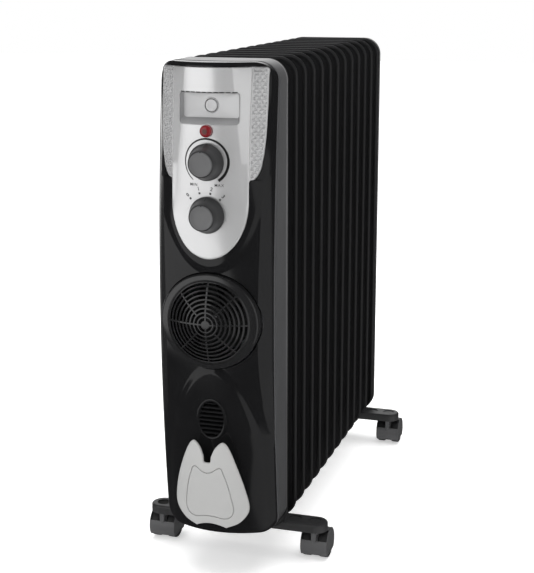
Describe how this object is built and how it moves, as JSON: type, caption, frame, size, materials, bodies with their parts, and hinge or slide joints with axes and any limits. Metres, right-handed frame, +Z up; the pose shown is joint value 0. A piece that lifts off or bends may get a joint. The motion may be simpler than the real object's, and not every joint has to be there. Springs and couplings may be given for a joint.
{
  "type": "oil filled radiator heater",
  "caption": "Oil filled column heater on swivel castors, with a fan grille, rotary thermostat, heat selector and push button on a bowed black front with a silver control panel.",
  "frame": {"origin": "on the floor, under the middle of the whole heater", "axes": "+X to the right as seen from the front, +Y from the control front to the back, +Z up"},
  "size_m": [0.243, 0.598, 0.636],
  "materials": {
    "black_enamel": "semi-gloss black stove enamel",
    "band_grey": "satin graphite paint",
    "gloss_black": "glossy moulded black",
    "silver_panel": "satin silver paint",
    "pale_grey": "fine matte moulding",
    "knob_grey": "satin dark grey",
    "red_lens": "clear dark red",
    "dark_plastic": "fine-grained moulding",
    "inner_plastic": "plain moulding",
    "switch_plastic": "plain moulding",
    "zinc_steel": "zinc plated",
    "gland_rubber": "matte",
    "castor_steel": "turned steel pin",
    "castor_wheel": "moulded nylon",
    "castor_nylon": "moulded nylon"
  },
  "bodies": {
    "heater": {"chassis_plate": "zinc_steel", "chassis_screws": "zinc_steel", "control_panel": "silver_panel", "cord_gland": "gland_rubber", "cord_wrap_plate": "pale_grey", "fan_grille": "gloss_black", "fan_motor": "zinc_steel", "fan_shroud": "inner_plastic", "fan_switch": "switch_plastic", "fin_01": "black_enamel", "fin_02": "black_enamel", "fin_03": "black_enamel", "fin_04": "black_enamel", "fin_05": "black_enamel", "fin_06": "black_enamel", "fin_07": "black_enamel", "fin_08": "black_enamel", "fin_09": "black_enamel", "fin_10": "black_enamel", "fin_11": "black_enamel", "fin_12": "black_enamel", "fin_13": "black_enamel", "front_cover": "gloss_black", "front_foot_bar": "dark_plastic", "heating_element": "zinc_steel", "housing_shell": "band_grey", "indicator_lens": "red_lens", "oil_filler_plug": "black_enamel", "rear_foot_bar": "dark_plastic", "selector_switch": "switch_plastic", "terminal_block": "switch_plastic", "thermal_cutout": "switch_plastic", "thermostat_body": "switch_plastic", "u_bolts": "zinc_steel", "vent_louvre": "gloss_black", "wing_nuts": "zinc_steel"},
    "thermostat": {"thermostat_knob": "knob_grey", "thermostat_shaft": "zinc_steel"},
    "selector": {"selector_knob": "knob_grey", "selector_shaft": "zinc_steel"},
    "button": {"fan_button": "silver_panel"},
    "fan": {"fan_impeller": "inner_plastic", "fan_shaft": "zinc_steel"},
    "castor_front_left": {"castor_front_left_hood": "castor_nylon", "castor_front_left_stem": "castor_steel"},
    "castor_front_left_wheel_inner": {"castor_front_left_wheel_inner": "castor_wheel"},
    "castor_front_left_wheel_outer": {"castor_front_left_wheel_outer": "castor_wheel"},
    "castor_front_right": {"castor_front_right_hood": "castor_nylon", "castor_front_right_stem": "castor_steel"},
    "castor_front_right_wheel_inner": {"castor_front_right_wheel_inner": "castor_wheel"},
    "castor_front_right_wheel_outer": {"castor_front_right_wheel_outer": "castor_wheel"},
    "castor_rear_left": {"castor_rear_left_hood": "castor_nylon", "castor_rear_left_stem": "castor_steel"},
    "castor_rear_left_wheel_inner": {"castor_rear_left_wheel_inner": "castor_wheel"},
    "castor_rear_left_wheel_outer": {"castor_rear_left_wheel_outer": "castor_wheel"},
    "castor_rear_right": {"castor_rear_right_hood": "castor_nylon", "castor_rear_right_stem": "castor_steel"},
    "castor_rear_right_wheel_inner": {"castor_rear_right_wheel_inner": "castor_wheel"},
    "castor_rear_right_wheel_outer": {"castor_rear_right_wheel_outer": "castor_wheel"}
  },
  "joints": [
    {"name": "thermostat_turn", "type": "hinge", "parent": "heater", "child": "thermostat", "pos_m": [0, -0.284, 0.523], "axis": [0, 1, 0], "range_deg": [-144, 144]},
    {"name": "selector_turn", "type": "hinge", "parent": "heater", "child": "selector", "pos_m": [0, -0.284, 0.4615], "axis": [0, 1, 0], "range_deg": [-45, 45]},
    {"name": "fan_button_push", "type": "slide", "parent": "heater", "child": "button", "axis": [0, 1, 0], "range_m": [0, 0.002], "stiffness_N_per_m": 500},
    {"name": "fan_spin", "type": "hinge", "parent": "heater", "child": "fan", "pos_m": [0, -0.248, 0.3345], "axis": [0, 1, 0], "continuous": true},
    {"name": "castor_front_left_swivel", "type": "hinge", "parent": "heater", "child": "castor_front_left", "pos_m": [-0.104, -0.174, 0.0405], "axis": [0, 0, 1], "continuous": true},
    {"name": "castor_front_left_wheel_inner_roll", "type": "hinge", "parent": "castor_front_left", "child": "castor_front_left_wheel_inner", "pos_m": [-0.09315, -0.164, 0.0184], "axis": [1, 0, 0], "continuous": true},
    {"name": "castor_front_left_wheel_outer_roll", "type": "hinge", "parent": "castor_front_left", "child": "castor_front_left_wheel_outer", "pos_m": [-0.11485, -0.164, 0.0184], "axis": [1, 0, 0], "continuous": true},
    {"name": "castor_front_right_swivel", "type": "hinge", "parent": "heater", "child": "castor_front_right", "pos_m": [0.104, -0.174, 0.0405], "axis": [0, 0, 1], "continuous": true},
    {"name": "castor_front_right_wheel_inner_roll", "type": "hinge", "parent": "castor_front_right", "child": "castor_front_right_wheel_inner", "pos_m": [0.09315, -0.164, 0.0184], "axis": [1, 0, 0], "continuous": true},
    {"name": "castor_front_right_wheel_outer_roll", "type": "hinge", "parent": "castor_front_right", "child": "castor_front_right_wheel_outer", "pos_m": [0.11485, -0.164, 0.0184], "axis": [1, 0, 0], "continuous": true},
    {"name": "castor_rear_left_swivel", "type": "hinge", "parent": "heater", "child": "castor_rear_left", "pos_m": [-0.104, 0.266, 0.0405], "axis": [0, 0, 1], "continuous": true},
    {"name": "castor_rear_left_wheel_inner_roll", "type": "hinge", "parent": "castor_rear_left", "child": "castor_rear_left_wheel_inner", "pos_m": [-0.09315, 0.276, 0.0184], "axis": [1, 0, 0], "continuous": true},
    {"name": "castor_rear_left_wheel_outer_roll", "type": "hinge", "parent": "castor_rear_left", "child": "castor_rear_left_wheel_outer", "pos_m": [-0.11485, 0.276, 0.0184], "axis": [1, 0, 0], "continuous": true},
    {"name": "castor_rear_right_swivel", "type": "hinge", "parent": "heater", "child": "castor_rear_right", "pos_m": [0.104, 0.266, 0.0405], "axis": [0, 0, 1], "continuous": true},
    {"name": "castor_rear_right_wheel_inner_roll", "type": "hinge", "parent": "castor_rear_right", "child": "castor_rear_right_wheel_inner", "pos_m": [0.09315, 0.276, 0.0184], "axis": [1, 0, 0], "continuous": true},
    {"name": "castor_rear_right_wheel_outer_roll", "type": "hinge", "parent": "castor_rear_right", "child": "castor_rear_right_wheel_outer", "pos_m": [0.11485, 0.276, 0.0184], "axis": [1, 0, 0], "continuous": true}
  ]
}
